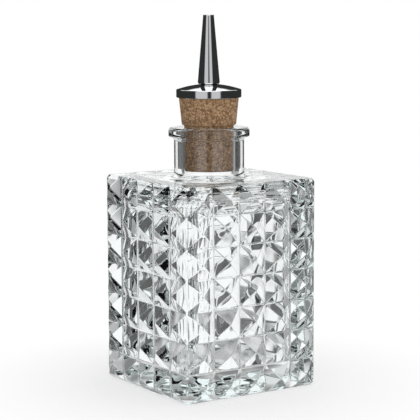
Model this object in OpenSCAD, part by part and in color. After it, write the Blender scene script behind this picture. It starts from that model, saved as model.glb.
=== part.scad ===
// Square glass bitters bottle with diamond-point sides and a corked dasher top.
// Millimetres, +Z up. The origin is the middle of the base, at the height it stands on.

/* [Glass body] */
// Width of the square body, measured in the grooves between the points
body_w = 57.8; // [50:0.2:70]
// Height from the base to the flat shoulder
body_h = 80.2; // [62:0.2:110]
// Thickness of the side walls, measured from the grooves
wall = 6; // [3.5:0.1:8]
// Thickness of the solid base
base_t = 5; // [3.5:0.1:14]
// Thickness of the shoulder
shoulder_t = 3.5; // [2.5:0.1:7]
// Radius of the upright corners of the inside
inner_corner_r = 7; // [5.5:0.5:12]
// Radius of the inside edges round the floor and the ceiling
inner_edge_r = 5; // [2:0.5:5.5]
// Radius of the heel, and of the edge round the shoulder
edge_r = 0.6; // [0.3:0.1:2.5]
// Slope of the heel and of the shoulder's edge where they open out past the grooves
edge_slope = 25; // [15:5:45]
// Width of the shallow hollow under the base
pushup_d = 42; // [30:1:48]
// Depth of the hollow under the base
pushup_h = 0.8; // [0.3:0.1:1.5]

/* [Diamond points] */
// Points across one side
columns = 5; // [3:1:8]
// Points up one side
rows = 7; // [4:1:10]
// How far a point stands out from the grooves
point_h = 3; // [0.8:0.1:3.6]
// How much of the lowest row the base cuts off
foot_cut = 0.8; // [0.2:0.1:3]
// How much of the highest row the shoulder cuts off
head_cut = 0.6; // [0.2:0.1:3]

/* [Neck] */
// Diameter of the bore that takes the cork
bore_d = 19; // [15:0.2:21]
// Thickness of the neck's wall
neck_wall = 4; // [3:0.1:6]
// Height of the neck, from the shoulder to the underside of the lip
neck_h = 15.4; // [12:0.2:30]
// Radius of the flare where the neck grows out of the shoulder
flare_r = 2; // [0.5:0.1:4]
// Radius where the bore opens into the body
throat_r = 7; // [3:0.5:8]
// How far the lip stands out from the neck
lip_out = 2.1; // [1.2:0.1:4]
// Height of the lip
lip_h = 3.6; // [2.8:0.1:6]
// Radius of the lip's upper outer edge
lip_top_r = 1.3; // [0.5:0.1:1.6]
// Radius of the lip's lower outer edge
lip_low_r = 0.5; // [0.2:0.1:0.8]
// Radius of the mouth's inner edge
mouth_r = 1.2; // [0.4:0.1:1.6]

/* [Cork] */
// Gap between the squeezed cork and the bore
cork_gap = 0.07; // [0.02:0.01:0.1]
// Depth of the cork below the mouth
cork_depth = 16.5; // [8:0.5:20]
// Height of the cork that shows between the mouth and the cap
cork_rise = 11.3; // [6:0.1:20]
// How far the cork swells out above the mouth
swell_r = 1; // [0.4:0.1:1.6]
// How much wider the cork is under the cap than just above the mouth
cork_taper = 2.1; // [0.4:0.1:3]
// How far the cork reaches up into the cap
cork_seat = 1.6; // [0.5:0.1:2.2]
// Rounding of the cork's lower end
cork_nose_r = 0.8; // [0.2:0.1:2]

/* [Cap] */
// How far the cap reaches out past the cork
cap_overhang = 1; // [0.7:0.1:3]
// Height of the cap's rim
cap_rim_h = 3.1; // [2.9:0.1:6]
// Rounding of the rim's edges
rim_edge_r = 0.35; // [0.1:0.05:0.6]
// Radius of the domed top
dome_r = 38; // [25:1:90]
// Gap between the cork and the inside of the cap
cap_gap = 0.1; // [0.05:0.05:0.4]

/* [Spout and tube] */
// Outside diameter of the spout at its foot
spout_foot_d = 8.4; // [7.8:0.1:11]
// Outside diameter of the spout at its tip
spout_tip_d = 4.1; // [3.4:0.1:5]
// Height of the spout above its foot
spout_h = 26.4; // [12:0.1:45]
// Rounding of the spout's foot, where it turns in to the dome
foot_round_r = 0.9; // [0.3:0.1:1]
// Diameter of the hole in the tip
tip_bore_d = 2.2; // [1:0.1:2.6]
// Outside diameter of the tube through the cork
tube_d = 6; // [5:0.1:6.4]
// Thickness of the tube's wall
tube_t = 0.7; // [0.4:0.05:1]
// How far the tube is pressed up into the spout
tube_socket = 4; // [2:0.5:8]
// Width and height of the flare that locks the tube under the cork
tube_flare = 0.9; // [0.4:0.1:1.5]

/* [Hidden] */
$fn = 96;
cut = 1;                                       // how far a cutting tool runs past what it cuts
lap = 0.01;                                    // how far a tapered cutting tool runs past its part

// Relief
half_w = body_w / 2;
cell_w = body_w / columns;
cell_h = (body_h + foot_cut + head_cut) / rows;
ring_n = 4 * columns;
reach = half_w + point_h + cut;                // just outside the points

// Inside of the glass
floor_z = base_t;
ceiling_z = body_h - shoulder_t;
inner_half = half_w - wall;

// Neck and mouth
bore_r = bore_d / 2;
neck_r = bore_r + neck_wall;
lip_r = neck_r + lip_out;
under_r = lip_out - lip_low_r;                 // hollow round under the lip
lip_z = body_h + neck_h;
mouth_z = lip_z + lip_h;

// Cork
cork_r = bore_r - cork_gap;
cork_bottom_z = mouth_z - cork_depth;
swell_z = mouth_z + swell_r;                   // where the swell ends and the taper starts
swollen_r = cork_r + swell_r;
cap_z = mouth_z + cork_rise;
cork_slope = cork_taper / 2 / (cap_z - swell_z);
cork_top_z = cap_z + cork_seat;
cork_top_r = swollen_r + cork_slope * (cork_top_z - swell_z);

// Cap
cap_r = swollen_r + cork_taper / 2 + cap_overhang;
cap_top_z = cap_z + cap_rim_h;
dome_rim_r = cap_r - rim_edge_r;
dome_z = cap_top_z - sqrt(pow(dome_r, 2) - pow(dome_rim_r, 2));   // centre of the dome's sphere
pocket_r = cork_top_r + cap_gap;

// Spout and tube
foot_r = spout_foot_d / 2;
tip_r = spout_tip_d / 2;
tube_r = tube_d / 2;
tube_bore_r = tube_r - tube_t;
foot_mid_r = foot_r - foot_round_r;            // where the foot touches the dome
foot_z = dome_z + sqrt(pow(dome_r, 2) - pow(foot_mid_r, 2));
tip_z = foot_z + spout_h;
tube_top_z = foot_z + tube_socket;
lean_x = foot_mid_r - tip_r;
lean_z = spout_h - foot_round_r;
spout_lean = atan(lean_x / lean_z) + asin(foot_round_r / sqrt(pow(lean_x, 2) + pow(lean_z, 2)));

// Point number k of the ring of groove crossings at row line j, counted round the four sides.
function side_turn(side, along, out) =
    side == 0 ? [along, -out] :
    side == 1 ? [out, along] :
    side == 2 ? [-along, out] :
                [-out, -along];
function ring_xy(k, out) = side_turn(floor(k / columns), (k % columns) * cell_w - half_w, out);
function crossing(j, k) = concat(ring_xy(k, half_w), [j * cell_h - foot_cut]);

// Tip of the diamond point in row j and place k of the ring.
function tip_xy(k) = side_turn(floor(k / columns), (k % columns + 0.5) * cell_w - half_w, half_w + point_h);
function point_tip(j, k) = concat(tip_xy(k), [(j + 0.5) * cell_h - foot_cut]);

// The square block with a four-sided point on every cell of its four sides.
module diamond_block() {
    crossings = [for (j = [0:rows]) for (k = [0:ring_n - 1]) crossing(j, k)];
    tips = [for (j = [0:rows - 1]) for (k = [0:ring_n - 1]) point_tip(j, k)];
    first_tip = len(crossings);
    facets = [for (j = [0:rows - 1]) for (k = [0:ring_n - 1])
        let (next = (k + 1) % ring_n,
             low_a = j * ring_n + k, low_b = j * ring_n + next,
             high_a = low_a + ring_n, high_b = low_b + ring_n,
             tip = first_tip + j * ring_n + k)
        each [[low_b, low_a, tip], [high_b, low_b, tip], [high_a, high_b, tip], [low_a, high_a, tip]]];
    middles = [for (j = [0, rows]) [0, 0, j * cell_h - foot_cut]];
    middle = first_tip + len(tips);
    ends = [for (k = [0:ring_n - 1])
        let (next = (k + 1) % ring_n)
        each [[k, next, middle], [rows * ring_n + next, rows * ring_n + k, middle + 1]]];
    polyhedron(concat(crossings, tips, middles), concat(facets, ends), convexity = 6);
}

// A rectangle with true round corners, its lower left corner at the origin.
module round_rect(w, h, r) {
    translate([r, 0]) square([w - 2 * r, h]);
    translate([0, r]) square([w, h - 2 * r]);
    for (x = [r, w - r]) for (y = [r, h - r]) translate([x, y]) circle(r);
}

// A quarter of the body's upright section: the round heel, which opens out under the points.
module heel_quarter() {
    bend_x = half_w - edge_r * sin(edge_slope);
    touch_z = edge_r * (1 - cos(edge_slope));
    translate([bend_x, edge_r]) circle(edge_r);
    polygon([
        [0, 0], [bend_x, 0], [half_w, touch_z], [reach, touch_z + (reach - half_w) * tan(edge_slope)],
        [reach, body_h / 2], [0, body_h / 2]
    ]);
}

module body_section() {
    for (side = [0, 1]) mirror([side, 0]) {
        heel_quarter();
        translate([0, body_h]) mirror([0, 1]) heel_quarter();
    }
}

// Upright section of the hollow, with its rounded floor and ceiling edges.
module hollow_section() {
    translate([-inner_half, floor_z]) round_rect(2 * inner_half, ceiling_z - floor_z, inner_edge_r);
}

// An upright section drawn out right through the body, both ways from the middle.
module draw_out() {
    rotate([90, 0, 0]) linear_extrude(2 * reach, center = true, convexity = 4) children();
}

// The outside of the glass block, cut off by its heel and shoulder edges.
module outside() {
    intersection() {
        diamond_block();
        draw_out() body_section();
        rotate(90) draw_out() body_section();
    }
}

// The hollow of the block, with round upright corners.
module inside() {
    intersection() {
        translate([-inner_half, -inner_half, floor_z - cut])
            linear_extrude(ceiling_z - floor_z + 2 * cut)
                round_rect(2 * inner_half, 2 * inner_half, inner_corner_r);
        draw_out() hollow_section();
        rotate(90) draw_out() hollow_section();
    }
}

// Upright section of the neck and lip, to the right of the axis.
module neck_section() {
    translate([bore_r, ceiling_z]) square([neck_wall, lip_z - ceiling_z]);
    // flare out of the shoulder
    difference() {
        translate([neck_r - cut, body_h - cut]) square([flare_r + cut, flare_r + cut]);
        translate([neck_r + flare_r, body_h + flare_r]) circle(flare_r);
    }
    // hollow round under the lip
    difference() {
        translate([neck_r - cut, lip_z - under_r]) square([under_r + cut, under_r + cut]);
        translate([neck_r + under_r, lip_z - under_r]) circle(under_r);
    }
    // the lip, with its three rounded edges
    difference() {
        translate([bore_r, lip_z]) square([lip_r - bore_r, lip_h]);
        outer_edge(lip_r, lip_z, lip_low_r, -1);
        outer_edge(lip_r, mouth_z, lip_top_r, 1);
        mirror([1, 0]) outer_edge(-bore_r, mouth_z, mouth_r, 1);
    }
}

// What rounding takes off a section's outer corner at x, z; up is 1 for a top corner, -1 for a bottom one.
module outer_edge(x, z, r, up) {
    difference() {
        translate([x - r, up > 0 ? z - r : z - cut]) square([r + cut, r + cut]);
        translate([x - r, z - up * r]) circle(r);
    }
}

// What the bore takes away, with the round throat where it opens into the body.
module bore_cut() {
    translate([0, 0, ceiling_z - cut]) cylinder(r = bore_r, h = mouth_z - ceiling_z + 2 * cut);
    rotate_extrude() difference() {
        translate([0, ceiling_z - cut]) square([bore_r + throat_r, throat_r + cut]);
        translate([bore_r + throat_r, ceiling_z + throat_r]) circle(throat_r);
    }
}

module glass_bottle() {
    pushup_r = (pow(pushup_d / 2, 2) + pow(pushup_h, 2)) / (2 * pushup_h);
    color([0.84, 0.9, 0.89, 0.6]) difference() {
        union() {
            outside();
            rotate_extrude() neck_section();
        }
        inside();
        bore_cut();
        translate([0, 0, pushup_h - pushup_r]) sphere(pushup_r, $fn = 180);
    }
}

// The cork as it sits, squeezed to the bore and swelling out above the mouth.
module cork_section() {
    translate([0, cork_bottom_z]) square([cork_r - cork_nose_r, cork_depth]);
    translate([0, cork_bottom_z + cork_nose_r]) square([cork_r, cork_depth - cork_nose_r]);
    translate([cork_r - cork_nose_r, cork_bottom_z + cork_nose_r]) circle(cork_nose_r);
    difference() {
        translate([0, swell_z - swell_r]) square([swollen_r, swell_r]);
        translate([swollen_r, swell_z - swell_r]) circle(swell_r);
    }
    polygon([[0, swell_z], [swollen_r, swell_z], [cork_top_r, cork_top_z], [0, cork_top_z]]);
}

module cork_stopper() {
    color([0.66, 0.49, 0.35]) difference() {
        rotate_extrude() cork_section();
        translate([0, 0, cork_bottom_z - cut]) cylinder(r = tube_r, h = cork_top_z - cork_bottom_z + 2 * cut);
        translate([0, 0, cork_bottom_z]) cylinder(r1 = tube_r + tube_flare, r2 = tube_r, h = tube_flare);
    }
}

module cap_section() {
    translate([0, cap_z + rim_edge_r]) square([cap_r, cap_rim_h - 2 * rim_edge_r]);
    translate([0, cap_z]) square([cap_r - rim_edge_r, cap_rim_h]);
    for (z = [cap_z + rim_edge_r, cap_top_z - rim_edge_r]) translate([dome_rim_r, z]) circle(rim_edge_r);
    intersection() {
        translate([0, dome_z]) circle(dome_r);
        translate([0, cap_top_z - cut]) square([dome_rim_r, dome_r]);
    }
}

module metal_cap() {
    color([0.72, 0.73, 0.75]) difference() {
        rotate_extrude($fn = 180) cap_section();
        translate([0, 0, cap_z - cut]) cylinder(r = pocket_r, h = cork_seat + cut);
        translate([0, 0, cap_z]) cylinder(r = tube_r, h = cap_rim_h + dome_r);
    }
}

// Upright section of the spout: a cone drawn from its tip to touch the rounding of its foot.
module spout_section() {
    difference() {
        union() {
            translate([foot_mid_r, foot_z + foot_round_r]) circle(foot_round_r);
            polygon([
                [0, foot_z - cut], [foot_mid_r, foot_z - cut], [foot_mid_r, foot_z + foot_round_r],
                [foot_mid_r + foot_round_r * cos(spout_lean), foot_z + foot_round_r * (1 + sin(spout_lean))],
                [tip_r, tip_z], [0, tip_z]
            ]);
        }
        translate([0, dome_z]) circle(dome_r);
    }
}

module pouring_spout() {
    color([0.72, 0.73, 0.75]) difference() {
        rotate_extrude() spout_section();
        translate([0, 0, foot_z - cut]) cylinder(r = tube_r, h = tube_socket + cut);
        translate([0, 0, tube_top_z - lap])
            cylinder(r1 = tube_bore_r, r2 = tip_bore_d / 2, h = tip_z - tube_top_z + 2 * lap);
    }
}

module stem_tube() {
    tube_h = tube_top_z - cork_bottom_z;
    color([0.6, 0.61, 0.63]) translate([0, 0, cork_bottom_z]) difference() {
        union() {
            cylinder(r = tube_r, h = tube_h);
            cylinder(r1 = tube_r + tube_flare, r2 = tube_r, h = tube_flare);
        }
        translate([0, 0, -cut]) cylinder(r = tube_bore_r, h = tube_h + 2 * cut);
        translate([0, 0, -lap]) cylinder(r1 = tube_bore_r + tube_flare, r2 = tube_bore_r, h = tube_flare);
    }
}

glass_bottle();
cork_stopper();
metal_cap();
pouring_spout();
stem_tube();
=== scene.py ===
import math

import bpy
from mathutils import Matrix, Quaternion, Vector


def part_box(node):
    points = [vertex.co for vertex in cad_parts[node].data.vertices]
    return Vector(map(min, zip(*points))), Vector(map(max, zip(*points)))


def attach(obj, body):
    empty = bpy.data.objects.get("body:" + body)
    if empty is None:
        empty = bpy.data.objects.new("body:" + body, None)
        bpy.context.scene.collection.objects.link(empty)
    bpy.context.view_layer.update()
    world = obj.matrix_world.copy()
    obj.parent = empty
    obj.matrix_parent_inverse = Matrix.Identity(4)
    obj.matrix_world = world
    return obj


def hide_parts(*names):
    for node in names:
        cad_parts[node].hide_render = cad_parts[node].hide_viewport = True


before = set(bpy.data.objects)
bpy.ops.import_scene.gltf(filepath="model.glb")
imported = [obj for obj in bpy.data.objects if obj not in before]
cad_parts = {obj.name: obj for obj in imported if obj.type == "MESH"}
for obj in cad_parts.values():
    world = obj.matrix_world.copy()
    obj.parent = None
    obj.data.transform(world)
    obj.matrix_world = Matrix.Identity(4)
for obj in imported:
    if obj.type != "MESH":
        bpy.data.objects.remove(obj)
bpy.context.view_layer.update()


# Viewpoint
# The bottle is seen from its left front corner and from a little above the shoulder, through a
# long lens, so the near upright edge stands left of the middle and two sides show their points.
view_azimuth = math.radians(-33.27)
view_elevation = math.radians(7.477)
view_roll = math.radians(-0.239)
view_distance = 0.62584
aim_height = 0.06698
aim_side = 0.000263
focal_px, picture_px = 1621.3, 420

view_back = Vector((
    math.sin(view_azimuth) * math.cos(view_elevation),
    -math.cos(view_azimuth) * math.cos(view_elevation),
    math.sin(view_elevation),
))
view_right = Vector((math.cos(view_azimuth), math.sin(view_azimuth), 0))
aim = Vector((0, 0, aim_height)) + view_right * aim_side
upright = (-view_back).to_track_quat("-Z", "Y")

lens = bpy.data.cameras.new("viewpoint")
lens.lens = lens.sensor_width * focal_px / picture_px
lens.clip_start = 0.05
lens.clip_end = 20
viewpoint = bpy.data.objects.new("viewpoint", lens)
bpy.context.scene.collection.objects.link(viewpoint)
viewpoint.location = aim + view_back * view_distance
viewpoint.rotation_mode = "QUATERNION"
viewpoint.rotation_quaternion = upright @ Quaternion((0, 0, 1), view_roll)
bpy.context.scene.camera = viewpoint


# Glass bottle
# Clear pressed glass in one piece: a thick square block with five by seven shallow pyramids on
# each side, a hollow with rounded corners, and a round neck with a rolled lip.
glass_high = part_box("glass_bottle")[1]
columns, rows = 5, 7
point_h = 0.003
body_half = glass_high.x - point_h  # out to the bottom of the grooves
body_top = 0.0802
foot_cut, head_cut = 0.0008, 0.0006  # lost by the lowest and the highest row of cells
edge_in, corner_in = 0.0003, 0.0009  # how far heel and shoulder are drawn in past the grooves
edge_rise = 0.002
groove_w, ridge_w, end_w = 0.0010, 0.0005, 0.0003  # widths of the rounds that the press leaves
pushup_r, pushup_h, pushup_round = 0.021, 0.0008, 0.008
wall, base_t, shoulder_t = 0.006, 0.005, 0.0035
inner_corner_r, inner_edge_r = 0.007, 0.005
bore_r, neck_wall, neck_h = 0.0095, 0.004, 0.0154
flare_r, throat_r = 0.002, 0.007
lip_out, lip_top_r, lip_low_r, mouth_r = 0.0021, 0.0013, 0.0005, 0.0012
mouth_z = glass_high.z
lip_z = body_top + neck_h
ceiling_z = body_top - shoulder_t
spare = 0.001  # how far solids run into or past each other
same = 1e-6  # points nearer than this are one


def named(name):
    """Give the primitive that was just added its name, with its place put into its mesh."""
    piece = bpy.context.object
    piece.name = name
    piece.data.name = name
    bpy.ops.object.transform_apply(location=True, rotation=True, scale=True)
    return piece


def only(piece):
    """Select this piece and nothing else."""
    bpy.ops.object.select_all(action="DESELECT")
    piece.select_set(True)
    bpy.context.view_layer.objects.active = piece


def edit(piece, kind="EDGE"):
    """Open a piece in edit mode with nothing in it selected."""
    only(piece)
    bpy.ops.object.mode_set(mode="EDIT")
    bpy.ops.mesh.select_mode(type=kind)
    bpy.ops.mesh.select_all(action="DESELECT")


# one side of the mould: a net of cells, each drawn out to a point, then set round four sides
side_middle = Vector((0, -body_half, (body_top + head_cut - foot_cut) / 2))
bpy.ops.object.select_all(action="DESELECT")
bpy.ops.mesh.primitive_grid_add(
    x_subdivisions=columns, y_subdivisions=rows, size=1,
    location=side_middle, rotation=(math.pi / 2, 0, 0))
glass = named("glass_body")
edit(glass, "FACE")
bpy.ops.mesh.select_all(action="SELECT")
bpy.ops.transform.resize(
    value=(2 * body_half, 1, body_top + foot_cut + head_cut), center_override=side_middle)
bpy.ops.mesh.poke(offset=point_h)
bpy.ops.mesh.select_all(action="SELECT")
bpy.ops.mesh.spin(steps=4, dupli=True, angle=math.tau, center=(0, 0, 0), axis=(0, 0, 1))
bpy.ops.mesh.select_all(action="SELECT")
bpy.ops.mesh.remove_doubles(threshold=same)
bpy.ops.mesh.select_all(action="SELECT")
bpy.ops.mesh.fill_holes(sides=0)
bpy.ops.mesh.normals_make_consistent(inside=False)

# the base and the shoulder cut through the lowest and the highest row of points
for height, from_below in ((0, True), (body_top, False)):
    bpy.ops.mesh.select_all(action="SELECT")
    bpy.ops.mesh.bisect(
        plane_co=(0, 0, height), plane_no=(0, 0, 1),
        use_fill=True, clear_inner=from_below, clear_outer=not from_below)

# heel and shoulder are drawn in past the grooves at 45 degrees, along the sides and at the corners
side_reach = body_half - edge_in
corner_reach = side_reach * math.sqrt(2) - corner_in
for turn in range(8):
    out = Vector((math.sin(turn * math.pi / 4), -math.cos(turn * math.pi / 4), 0))
    reach = corner_reach if turn % 2 else side_reach
    for height, up in ((0, -1), (body_top, 1)):
        bpy.ops.mesh.select_all(action="SELECT")
        bpy.ops.mesh.bisect(
            plane_co=out * reach + Vector((0, 0, height)), plane_no=out + Vector((0, 0, up)),
            use_fill=True, clear_outer=True)
bpy.ops.object.mode_set(mode="OBJECT")


def apply(piece, kind, **settings):
    """Put a modifier with these settings on a piece and apply it."""
    only(piece)
    change = piece.modifiers.new(kind.lower(), kind)
    for name, value in settings.items():
        setattr(change, name, value)
    bpy.ops.object.modifier_apply(modifier=change.name)


# the press leaves broad round grooves, finer ridges, and a fine edge round the heel and shoulder;
# both ends of a groove stand out as far as each other
edit(glass)
bpy.ops.mesh.edges_select_sharp(sharpness=math.radians(5))
bpy.ops.object.mode_set(mode="OBJECT")
broadest = max(groove_w, ridge_w, end_w)
share = glass.data.attributes.new("bevel_weight_edge", "FLOAT", "EDGE")
for edge in glass.data.edges:
    a, b = (glass.data.vertices[v].co for v in edge.vertices)
    at_end = all(min(end.z, body_top - end.z) < edge_rise for end in (a, b))
    in_groove = abs(max(abs(a.x), abs(a.y)) - max(abs(b.x), abs(b.y))) < same
    edge_w = end_w if at_end else groove_w if in_groove else ridge_w
    share.data[edge.index].value = edge_w / broadest if edge.select else 0
apply(glass, "BEVEL", width=broadest, segments=3, limit_method="WEIGHT", offset_type="WIDTH")


def combine(piece, other, operation):
    """Add another solid to a piece, or cut it away, and use the other one up."""
    apply(piece, "BOOLEAN", operation=operation, solver="EXACT", object=other)
    bpy.data.objects.remove(other)


# the middle of the base is sunk a little, by the top of a flattened ball
pushup_out = pushup_r / math.sqrt(1 - (pushup_round / (pushup_round + pushup_h)) ** 2)
bpy.ops.object.select_all(action="DESELECT")
bpy.ops.mesh.primitive_uv_sphere_add(
    segments=96, ring_count=64, radius=1, location=(0, 0, -pushup_round),
    scale=(pushup_out, pushup_out, pushup_round + pushup_h))
combine(glass, named("pushup"), "DIFFERENCE")


def arc(x, z, r, start, end, steps):
    """Points of an arc round x, z from the start angle to the end angle, in degrees."""
    turns = [math.radians(start + (end - start) * i / steps) for i in range(steps + 1)]
    return [(x + r * math.cos(a), z + r * math.sin(a)) for a in turns]


def turned(name, section, steps=128):
    """A ring-shaped solid, drawn up from a circle through the points of its section and back."""
    bpy.ops.object.select_all(action="DESELECT")
    r, z = section[0]
    bpy.ops.mesh.primitive_circle_add(vertices=steps, radius=r, location=(0, 0, z))
    piece = named(name)
    bpy.ops.object.mode_set(mode="EDIT")
    bpy.ops.mesh.select_all(action="SELECT")
    for next_r, next_z in [*section[1:], section[0]]:
        bpy.ops.mesh.extrude_region_move(TRANSFORM_OT_translate={"value": (0, 0, next_z - z)})
        bpy.ops.transform.resize(value=(next_r / r, next_r / r, 1), center_override=(0, 0, next_z))
        r, z = next_r, next_z
    bpy.ops.mesh.select_all(action="SELECT")
    bpy.ops.mesh.remove_doubles(threshold=same)
    bpy.ops.mesh.normals_make_consistent(inside=False)
    bpy.ops.object.mode_set(mode="OBJECT")
    return piece


# neck and lip
neck_r = bore_r + neck_wall
lip_r = neck_r + lip_out
under_r = lip_out - lip_low_r
neck = turned("neck", [
    (bore_r - spare, body_top - spare),
    (neck_r + flare_r, body_top - spare),
    *arc(neck_r + flare_r, body_top + flare_r, flare_r, -90, -180, 8),
    *arc(neck_r + under_r, lip_z - under_r, under_r, 180, 90, 8),
    *arc(lip_r - lip_low_r, lip_z + lip_low_r, lip_low_r, -90, 0, 4),
    *arc(lip_r - lip_top_r, mouth_z - lip_top_r, lip_top_r, 0, 90, 8),
    (bore_r - spare, mouth_z),
])
combine(glass, neck, "UNION")


def pick(piece, wanted):
    """In edit mode, select the edges of a piece whose two ends answer to wanted."""
    bpy.ops.mesh.select_all(action="DESELECT")
    bpy.ops.object.mode_set(mode="OBJECT")
    points = piece.data.vertices
    for edge in piece.data.edges:
        edge.select = wanted(*(points[v].co for v in edge.vertices))
    bpy.ops.object.mode_set(mode="EDIT")


# the hollow, a square chamber with rounded corners, floor and ceiling
inner_half = body_half - wall
bpy.ops.object.select_all(action="DESELECT")
bpy.ops.mesh.primitive_cube_add(
    size=1, location=(0, 0, (base_t + ceiling_z) / 2),
    scale=(2 * inner_half, 2 * inner_half, ceiling_z - base_t))
hollow = named("hollow")
edit(hollow)
pick(hollow, lambda a, b: abs(a.z - b.z) > inner_edge_r)
bpy.ops.mesh.bevel(offset=inner_corner_r, segments=12, affect="EDGES")
pick(hollow, lambda a, b: abs(a.z - b.z) < same)
bpy.ops.mesh.bevel(offset=inner_edge_r, segments=8, affect="EDGES")
bpy.ops.object.mode_set(mode="OBJECT")
combine(glass, hollow, "DIFFERENCE")


def smooth(piece, angle=25):
    """Shade a piece smoothly, with its broad faces kept flat between their rounded edges."""
    only(piece)
    bpy.ops.object.shade_smooth_by_angle(angle=math.radians(angle))
    apply(piece, "WEIGHTED_NORMAL", weight=90, keep_sharp=True)


# the bore, with its rounded mouth and throat
bore = turned("bore", [
    (spare, ceiling_z - spare),
    (bore_r + throat_r, ceiling_z - spare),
    *arc(bore_r + throat_r, ceiling_z + throat_r, throat_r, -90, -180, 12),
    *arc(bore_r + mouth_r, mouth_z - mouth_r, mouth_r, 180, 90, 8),
    (bore_r + mouth_r, mouth_z + spare),
    (spare, mouth_z + spare),
])
combine(glass, bore, "DIFFERENCE")
smooth(glass)


class Shade:
    """A value in a material's nodes. Sums and products of shades add Math nodes."""

    def __init__(self, tree, socket=None):
        self.tree = tree
        self.socket = socket

    def node(self, kind, settings=None, sockets=None, output=0):
        """Any node, with its settings first, then the values or links of its sockets."""
        made = self.tree.nodes.new(kind)
        for name, value in (settings or {}).items():
            setattr(made, name, value)
        for name, value in (sockets or {}).items():
            if isinstance(value, Shade):
                self.tree.links.new(value.socket, made.inputs[name])
            else:
                made.inputs[name].default_value = value
        return Shade(self.tree, made.outputs[output]) if made.outputs else None

    def math(self, operation, *others):
        """This shade and the others, in this order, in a Math node."""
        values = dict(enumerate([self, *others]))
        return self.node("ShaderNodeMath", {"operation": operation}, values)

    def vector(self, operation, *others, output=0):
        """This shade and the others, in this order, in a Vector Math node."""
        values = dict(enumerate([self, *others]))
        return self.node("ShaderNodeVectorMath", {"operation": operation}, values, output)

    def __add__(self, other):
        return self.math("ADD", other)

    def __sub__(self, other):
        return self.math("SUBTRACT", other)

    def __rsub__(self, other):
        return (self * -1).math("ADD", other)

    def __mul__(self, other):
        return self.math("MULTIPLY", other)

    __radd__ = __add__
    __rmul__ = __mul__

    def between(self, low, high):
        """0 below low, 1 above high, and an even slope between them."""
        return self.node("ShaderNodeMapRange", {"clamp": True}, {
            "Value": self, "From Min": low, "From Max": high})

    def blend(self, a, b):
        """Colour a where this shade is 0, colour b where it is 1."""
        return self.node("ShaderNodeMix", {"data_type": "RGBA"}, {0: self, 6: a, 7: b}, output=2)

    def bump(self, strength, distance):
        """This shade as the height of fine relief."""
        return self.node("ShaderNodeBump", None, {
            "Height": self, "Strength": strength, "Distance": distance})


def new_material(name):
    """A material with no nodes yet but the one that gives the place on the piece."""
    material = bpy.data.materials.new(name)
    material.use_nodes = True
    material.node_tree.nodes.clear()
    return material, Shade(material.node_tree).node("ShaderNodeTexCoord", output=3)


def dress(piece, material, slot, body, *nodes):
    """Give a piece its one material, hide the nodes that it stands for, and set it on what it
    rides on.
    """
    piece.data.materials.clear()
    piece.data.materials.append(material)
    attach(piece, body)
    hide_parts(*nodes)


# pressing leaves the walls of the hollow a little wavy, and the outside nearly even
glass_tint = (0.80, 0.93, 0.93, 1)
glass_density = 12
outer_waves, inner_waves = 0.02, 0.6
clear_glass, place = new_material("clear_glass")
apart = place.vector("ABSOLUTE")
x, y, z = (apart.node("ShaderNodeSeparateXYZ", None, {0: apart}, output=i) for i in range(3))
in_hollow = 1 - x.math("MAXIMUM", y).between(inner_half + spare / 2, inner_half + spare)
in_hollow *= 1 - z.between(ceiling_z, ceiling_z + spare)
waves = place.node("ShaderNodeTexNoise", None, {"Vector": place, "Scale": 75, "Detail": 1})
waves *= outer_waves + in_hollow * inner_waves
place.node("ShaderNodeOutputMaterial", None, {
    "Surface": place.node("ShaderNodeBsdfPrincipled", None, {
        "Base Color": (1, 1, 1, 1),
        "Transmission Weight": 1,
        "Roughness": 0,
        "IOR": 1.5,
        "Normal": waves.bump(1, 0.002),
    }),
    "Volume": place.node("ShaderNodeVolumeAbsorption", None, {
        "Color": glass_tint, "Density": glass_density}),
})
dress(glass, clear_glass, "clear_glass", "bottle", "glass_bottle")


# Cork
# A tapered stopper of ground cork, pressed and glued from grains, bored through for the tube. Its
# lower part is squeezed by the neck, and it swells out again above the mouth.
cork_low, cork_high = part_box("cork_stopper")
tube_low, tube_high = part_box("stem_tube")
tube_r = 0.003
cork_gap = 0.00007
cork_r = bore_r - cork_gap
cork_swell, cork_nose_r = 0.001, 0.0008
swollen_r = cork_r + cork_swell
cork_top_r = cork_high.x
pit_depth = 0.00012
mesh_step = 0.0003


def even(section, step):
    """The same closed section with points no further apart than step."""
    points = []
    for (r, z), (next_r, next_z) in zip(section, section[1:] + section[:1]):
        parts = max(1, math.ceil(math.dist((r, z), (next_r, next_z)) / step))
        for i in range(parts):
            points.append((r + (next_r - r) * i / parts, z + (next_z - z) * i / parts))
    return points


cork = turned("cork", even([
    (tube_r, cork_low.z),
    *arc(cork_r - cork_nose_r, cork_low.z + cork_nose_r, cork_nose_r, -90, 0, 4),
    *arc(swollen_r, mouth_z, cork_swell, 180, 90, 4),
    (cork_top_r, cork_high.z),
    (tube_r, cork_high.z),
], mesh_step), steps=240)

# pits where grains have torn out, only ever sunk into the cork
pits = bpy.data.textures.new("pits", "CLOUDS")
pits.noise_scale = 0.0008
pits.noise_depth = 2
pits.contrast = 4
pits.intensity = 0.55
pits.use_clamp = True
apply(cork, "DISPLACE", texture=pits, texture_coords="LOCAL", strength=-pit_depth, mid_level=0)
smooth(cork, 60)

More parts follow.
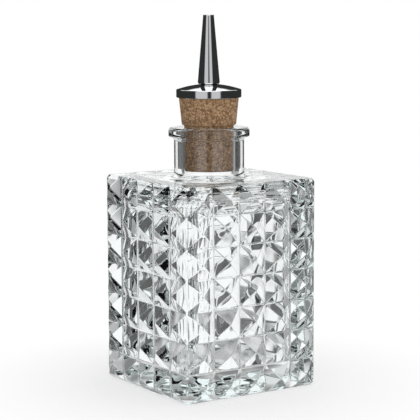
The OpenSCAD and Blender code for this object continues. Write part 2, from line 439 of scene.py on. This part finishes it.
# grains of different browns with dark seams between them, dark flecks, and paler patches
dark_grain, light_grain = (0.23, 0.130, 0.065, 1), (0.58, 0.365, 0.205, 1)
fleck_brown = (0.09, 0.05, 0.026, 1)
seam_brown = (0.14, 0.08, 0.042, 1)
patch_brown = (0.38, 0.22, 0.12, 1)
grain_scale, grain_bend = 1400, 0.0006
cork_material, place = new_material("cork")
bent = place.node(
    "ShaderNodeTexNoise", None, {"Vector": place, "Scale": 500, "Detail": 2}, output=1)
spot = bent.vector("MULTIPLY_ADD", (grain_bend,) * 3, place)
grains = place.node("ShaderNodeTexVoronoi", None, {"Vector": spot, "Scale": grain_scale}, output=1)
grain_tone = place.node("ShaderNodeSeparateColor", None, {"Color": grains})
seam = place.node("ShaderNodeTexVoronoi", {"feature": "DISTANCE_TO_EDGE"}, {
    "Vector": spot, "Scale": grain_scale})
flecks = place.node("ShaderNodeTexNoise", None, {
    "Vector": place, "Scale": 1800, "Detail": 4, "Roughness": 0.7})
broad = place.node("ShaderNodeTexNoise", None, {"Vector": place, "Scale": 160, "Detail": 2})
brown = grain_tone.between(0.1, 0.9).blend(dark_grain, light_grain)
brown = (flecks.between(0.50, 0.62) * 0.85).blend(brown, fleck_brown)
brown = ((1 - seam.between(0, 0.10)) * 0.35).blend(brown, seam_brown)
brown = (broad.between(0.42, 0.7) * 0.25).blend(brown, patch_brown)
relief = seam.between(0, 0.2) * 0.6 + flecks * 0.8
place.node("ShaderNodeOutputMaterial", None, {
    "Surface": place.node("ShaderNodeBsdfPrincipled", None, {
        "Base Color": brown,
        "Roughness": 0.82 + flecks * 0.12,
        "Specular IOR Level": 0.3,
        "Normal": relief.bump(0.5, 0.0003),
    }),
})
dress(cork, cork_material, "cork", "stopper", "cork_stopper")


# Cap
# A chromed cap with a low dome, pressed down over the top of the cork. Its rim stands out past
# the cork all round.
cap_low, cap_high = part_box("metal_cap")
cap_r = cap_high.x
cap_rim_h, rim_edge_r = 0.0031, 0.00035
dome_r = 0.038
cap_gap = 0.0001
chrome_grey = (0.74, 0.75, 0.77, 1)
dome_rim_r = cap_r - rim_edge_r
cap_top_z = cap_low.z + cap_rim_h
dome_z = cap_top_z - math.sqrt(dome_r**2 - dome_rim_r**2)
dome_edge = math.degrees(math.asin(dome_rim_r / dome_r))
hole_edge = math.degrees(math.asin(tube_r / dome_r))

cap = turned("cap", [
    (tube_r, cork_high.z),
    (cork_top_r + cap_gap, cork_high.z),
    (cork_top_r + cap_gap, cap_low.z),
    *arc(dome_rim_r, cap_low.z + rim_edge_r, rim_edge_r, -90, 0, 6),
    *arc(dome_rim_r, cap_top_z - rim_edge_r, rim_edge_r, 0, 90 - dome_edge, 6),
    *arc(0, dome_z, dome_r, 90 - dome_edge, 90 - hole_edge, 24)[1:],
], steps=192)
smooth(cap)

chrome, place = new_material("chrome")
rubbing = place.node("ShaderNodeTexNoise", None, {
    "Vector": place, "Scale": 260, "Detail": 5, "Roughness": 0.6})
place.node("ShaderNodeOutputMaterial", None, {
    "Surface": place.node("ShaderNodeBsdfPrincipled", None, {
        "Base Color": chrome_grey,
        "Metallic": 1,
        "Roughness": 0.035 + rubbing * 0.03,
        "Normal": rubbing.bump(0.02, 0.0002),
    }),
})
dress(cap, chrome, "chrome_plate", "stopper", "metal_cap")


# Spout
# A chromed cone with a fine hole in its tip, standing on the dome. It holds the top of the tube.
# Its side is a straight line that touches the rounds of its foot and of its tip.
spout_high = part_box("pouring_spout")[1]
spout_foot_r, spout_tip_r = 0.0042, 0.00205
foot_round_r, tip_edge_r = 0.0009, 0.00025
tip_bore_r, tube_wall = 0.0011, 0.0007
foot_mid_r = spout_foot_r - foot_round_r
tip_mid_r = spout_tip_r - tip_edge_r
foot_z = dome_z + math.sqrt(dome_r**2 - foot_mid_r**2)
foot_mid_z = foot_z + foot_round_r
tip_mid_z = spout_high.z - tip_edge_r
taper, rise = foot_mid_r - tip_mid_r, tip_mid_z - foot_mid_z
lean = math.degrees(
    math.atan(taper / rise) + math.asin((foot_round_r - tip_edge_r) / math.hypot(taper, rise)))

spout = turned("spout", [
    (tube_r, foot_z),
    *arc(foot_mid_r, foot_mid_z, foot_round_r, -90, lean, 10),
    *arc(tip_mid_r, tip_mid_z, tip_edge_r, lean, 90, 4),
    *arc(tip_bore_r + tip_edge_r, tip_mid_z, tip_edge_r, 90, 180, 4),
    (tube_r - tube_wall, tube_high.z),
    (tube_r, tube_high.z),
], steps=160)
smooth(spout)
dress(spout, chrome, "chrome_plate", "stopper", "pouring_spout")


# Tube
# A thin steel tube through the cork, flared under it and pressed into the spout above. What shows
# of it is the flared end inside the neck.
tube_flare = 0.0009
steel_grey = (0.58, 0.58, 0.59, 1)
tube = turned("tube", [
    (tube_r - tube_wall + tube_flare, tube_low.z),
    (tube_r + tube_flare, tube_low.z),
    (tube_r, tube_low.z + tube_flare),
    (tube_r, tube_high.z),
    (tube_r - tube_wall, tube_high.z),
    (tube_r - tube_wall, tube_low.z + tube_flare),
], steps=96)
smooth(tube)

plain_steel, place = new_material("plain_steel")
drawn = place.node("ShaderNodeMapping", None, {"Vector": place, "Scale": (1, 1, 0.05)})
lines = place.node("ShaderNodeTexNoise", None, {"Vector": drawn, "Scale": 4000, "Detail": 3})
place.node("ShaderNodeOutputMaterial", None, {
    "Surface": place.node("ShaderNodeBsdfPrincipled", None, {
        "Base Color": steel_grey,
        "Metallic": 1,
        "Roughness": 0.22 + lines * 0.2,
        "Normal": lines.bump(0.15, 0.0001),
    }),
})
dress(tube, plain_steel, "plain_steel", "stopper", "stem_tube")


# Table and light
# A pale table in a plain soft room, white to the camera. The glass sees a white backdrop behind
# it, two soft lamps in front and dark sides, and the chrome sees the lamps and a dark room.
table_size = 8
table_white = (0.9, 0.9, 0.9, 1)
window_blur = 3
soft_room = 0.92, (
    (20, 60, 0, 60, 1.2),  # brighter in front
    (-85, 45, -90, 90, 0.6),  # dimmer on the left
)
glass_room = 0.39, (
    (190, 33, -90, 28, 1.05),  # backdrop
    (268, 38, -90, 28, 0.12),  # dark left side
    (332, 20, -90, 22, 1.15),  # lamp on the left in front
    (2, 10, -90, 22, 0.15),  # dark gap between the lamps
    (32, 20, -90, 22, 1.1),  # lamp on the right in front
    (138, 14, -90, 14, 0.08),  # dark strip on the right behind
    (195, 45, 48, 90, 1.0),  # light overhead
)
chrome_room = 0.035, (
    (-26, 21, -90, 22, 0.70),  # lamp on the left in front
    (25, 16, -90, 22, 0.70),  # lamp on the right in front
    (0, 50, 22, 90, 1.7),  # light overhead in front
    (180, 48, 30, 90, 1.7),  # light overhead behind
)
# painted on the table for the glass only: the bottle's shadow behind it, and shade at its far ends
shadow = 0.97, ((180, 62, -90, 90, 0.5),)  # the bottle's, behind it
dark_ends = 1, ((211, 17, -90, 90, 0.12), (150, 17, -90, 90, 0.12))

# where on the table, out from the middle, one light passes into the next
base_radii, shadow_radii, white_radii, end_radii = (
    (0.029, 0.032), (0.044, 0.056), (0.045, 0.10), (0.40, 0.48))


def soft_edge(sine, angle):
    """0 where the angle of this sine is below angle, 1 where it is above, with a soft edge."""
    low, high = (math.sin(math.radians(angle + turn)) for turn in (-window_blur, window_blur))
    return sine.between(low, high)


def room(toward, base, windows):
    """How bright a room is in a direction: a base level and soft-edged windows, the last on top.

    A window is its middle, counted from the viewpoint's side, and its half width, its lowest and
    highest elevation, all in degrees, and its level."""
    level_way = toward.vector("MULTIPLY", (1, 1, 0)).vector("NORMALIZE")
    unit = toward.vector("NORMALIZE")
    height = unit.node("ShaderNodeSeparateXYZ", None, {0: unit}, output=2)
    level = base
    for middle, half, low, high, value in windows:
        turn = view_azimuth + math.radians(middle)
        window_way = (math.sin(turn), -math.cos(turn), 0)
        window = soft_edge(level_way.vector("DOT_PRODUCT", window_way, output=1), 90 - half)
        if low > -90:
            window *= soft_edge(height, low)
        if high < 90:
            window *= 1 - soft_edge(height, high)
        level = level + window * (value - level)
    return level


def rays(place):
    """1 for the viewpoint's own rays, for those that come by way of glass, and by way of metal.

    Glass keeps a ray sharp, and metal blurs it a little. What lights a dull surface is plain,
    also where it comes through the glass."""
    camera = place.node("ShaderNodeLightPath", output="Is Camera Ray")
    clean = 1 - place.node("ShaderNodeLightPath", output="Diffuse Depth").between(0, 1)
    through = place.node("ShaderNodeLightPath", output="Is Transmission Ray")
    sharp = place.node("ShaderNodeLightPath", output="Is Singular Ray")
    by_glass = through.math("MAXIMUM", sharp) * clean
    by_metal = place.node("ShaderNodeLightPath", output="Is Glossy Ray") * clean * (1 - by_glass)
    return camera, by_glass, by_metal


bpy.ops.object.select_all(action="DESELECT")
bpy.ops.mesh.primitive_plane_add(size=table_size)
table = named("table")
pale, place = new_material("pale_table")
to_camera, to_glass, to_metal = rays(place)
flat = place.vector("MULTIPLY", (1, 1, 0))
radius = flat.vector("LENGTH", output=1)

# what the glass sees of the table, painted into its glow: the room's light on it, painted shade
# at its dark ends, the bottle's painted shadow behind it, and the painted uneven light that comes
# through the base
far = room(flat, *glass_room)
far *= 1 + radius.between(*end_radii) * (room(flat, *dark_ends) - 1)
near = room(flat, *shadow)
patches = place.node("ShaderNodeTexNoise", None, {"Vector": place, "Scale": 60, "Detail": 0})
under = 0.25 + patches.between(0.35, 0.65) * 0.5
seen = near + radius.between(*shadow_radii) * (far - near)
seen = under + radius.between(*base_radii) * (seen - under)

# the chrome sees its own room's lamps painted on the table, and the camera sees white with a soft
# shadow
metal = room(flat, *chrome_room)
seen = metal + to_glass * (seen - metal)
seen = seen + to_camera * (1 - seen)
glow = to_camera * (0.6 + radius.between(*white_radii) * 0.4) + to_glass + to_metal
place.node("ShaderNodeOutputMaterial", None, {
    "Surface": place.node("ShaderNodeMixShader", None, {
        0: glow,
        1: place.node("ShaderNodeBsdfDiffuse", None, {"Color": table_white}),
        2: place.node("ShaderNodeEmission", None, {"Color": seen}),
    }),
})
table.data.materials.append(pale)

studio = bpy.data.worlds.new("studio")
bpy.context.scene.world = studio
studio.use_nodes = True
studio.node_tree.nodes.clear()
toward = Shade(studio.node_tree).node("ShaderNodeTexCoord")
to_camera, to_glass, to_metal = rays(toward)
soft = room(toward, *soft_room)
light = soft + to_metal * (room(toward, *chrome_room) - soft)
light = light + to_glass * (room(toward, *glass_room) - light)
light = light + to_camera * (1 - light)
toward.node("ShaderNodeOutputWorld", None, {
    "Surface": toward.node("ShaderNodeBackground", None, {"Color": light}),
})
bpy.context.scene.view_settings.view_transform = "Standard"
